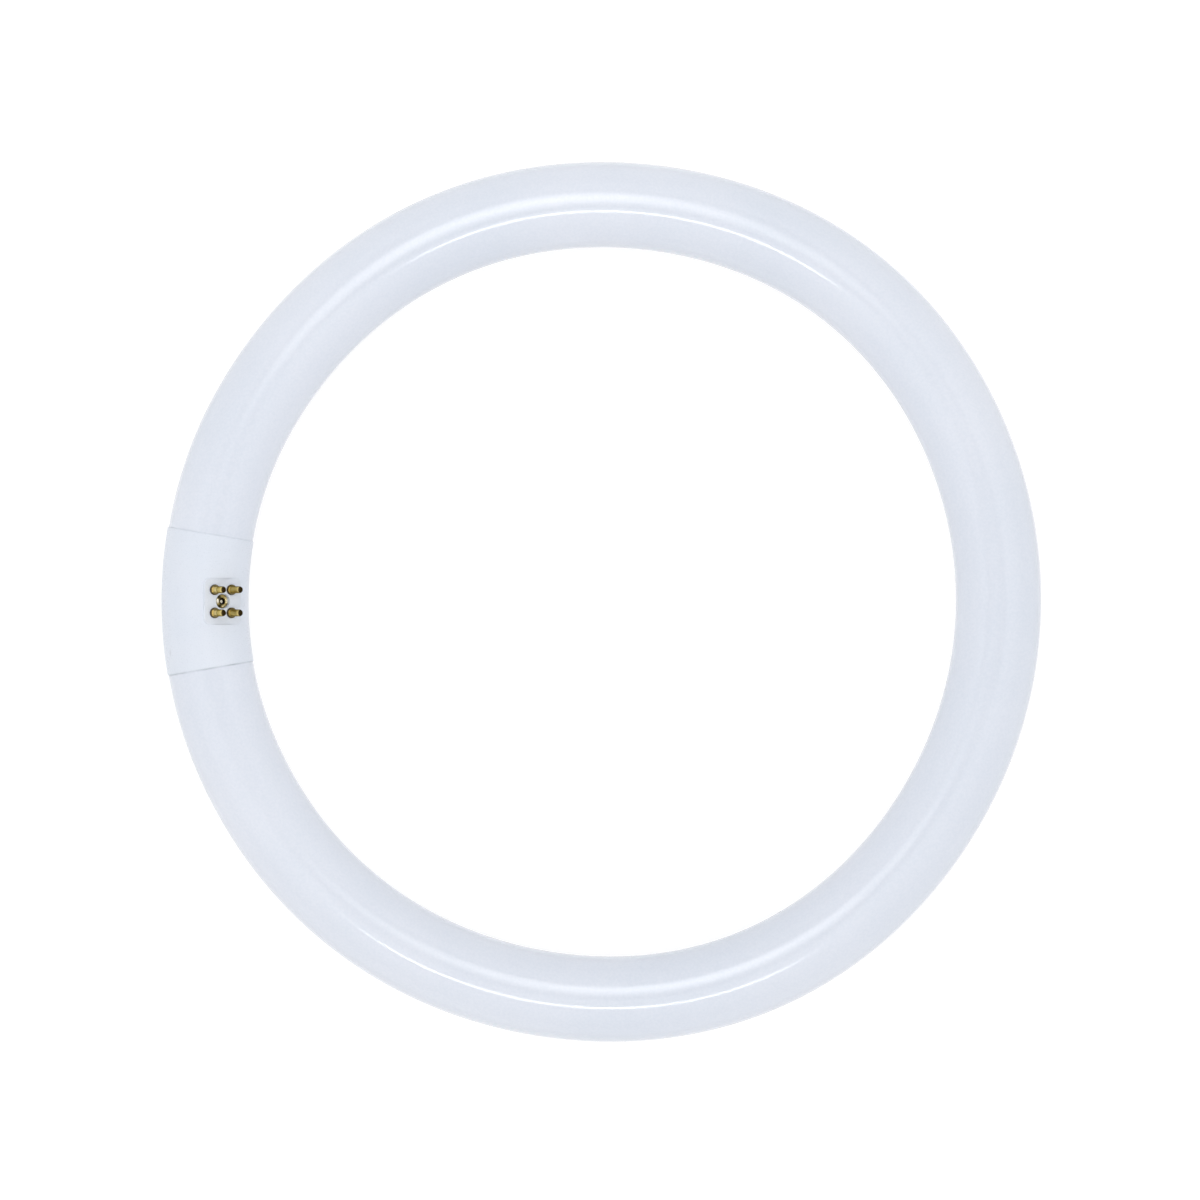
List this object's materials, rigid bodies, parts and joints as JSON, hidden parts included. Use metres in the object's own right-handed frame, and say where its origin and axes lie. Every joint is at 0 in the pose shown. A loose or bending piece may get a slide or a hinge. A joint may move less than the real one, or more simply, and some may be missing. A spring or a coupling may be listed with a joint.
{
  "type": "circular fluorescent tube",
  "caption": "Ring-shaped opal glass fluorescent tube, closed by a moulded cap whose contact pins lean towards the ring's centre.",
  "frame": {"origin": "on the ring's axis, level with the lowest point of the cap, which is the surface it lies on", "axes": "+Z along the ring's axis, upward on the pins' side; the cap is at -X and the pins lean from it towards +X"},
  "size_m": [0.3053, 0.305, 0.0358],
  "materials": {
    "opal_glass": "smooth glass, white inside, glossy",
    "cap_plastic": "moulded white plastic, satin",
    "rivet_brass": "brass, rolled over, slightly dull",
    "pin_brass": "brass, turned and bright",
    "lead_metal": "plain nickel-coated wire"
  },
  "bodies": {
    "root": {"glass_tube": "opal_glass", "cap_front_shell": "cap_plastic", "cap_back_shell": "cap_plastic", "cap_rivet": "rivet_brass", "contact_pin_1": "pin_brass", "contact_pin_2": "pin_brass", "contact_pin_3": "pin_brass", "contact_pin_4": "pin_brass", "lead_wire_1": "lead_metal", "lead_wire_2": "lead_metal", "lead_wire_3": "lead_metal", "lead_wire_4": "lead_metal"}
  },
  "joints": []
}
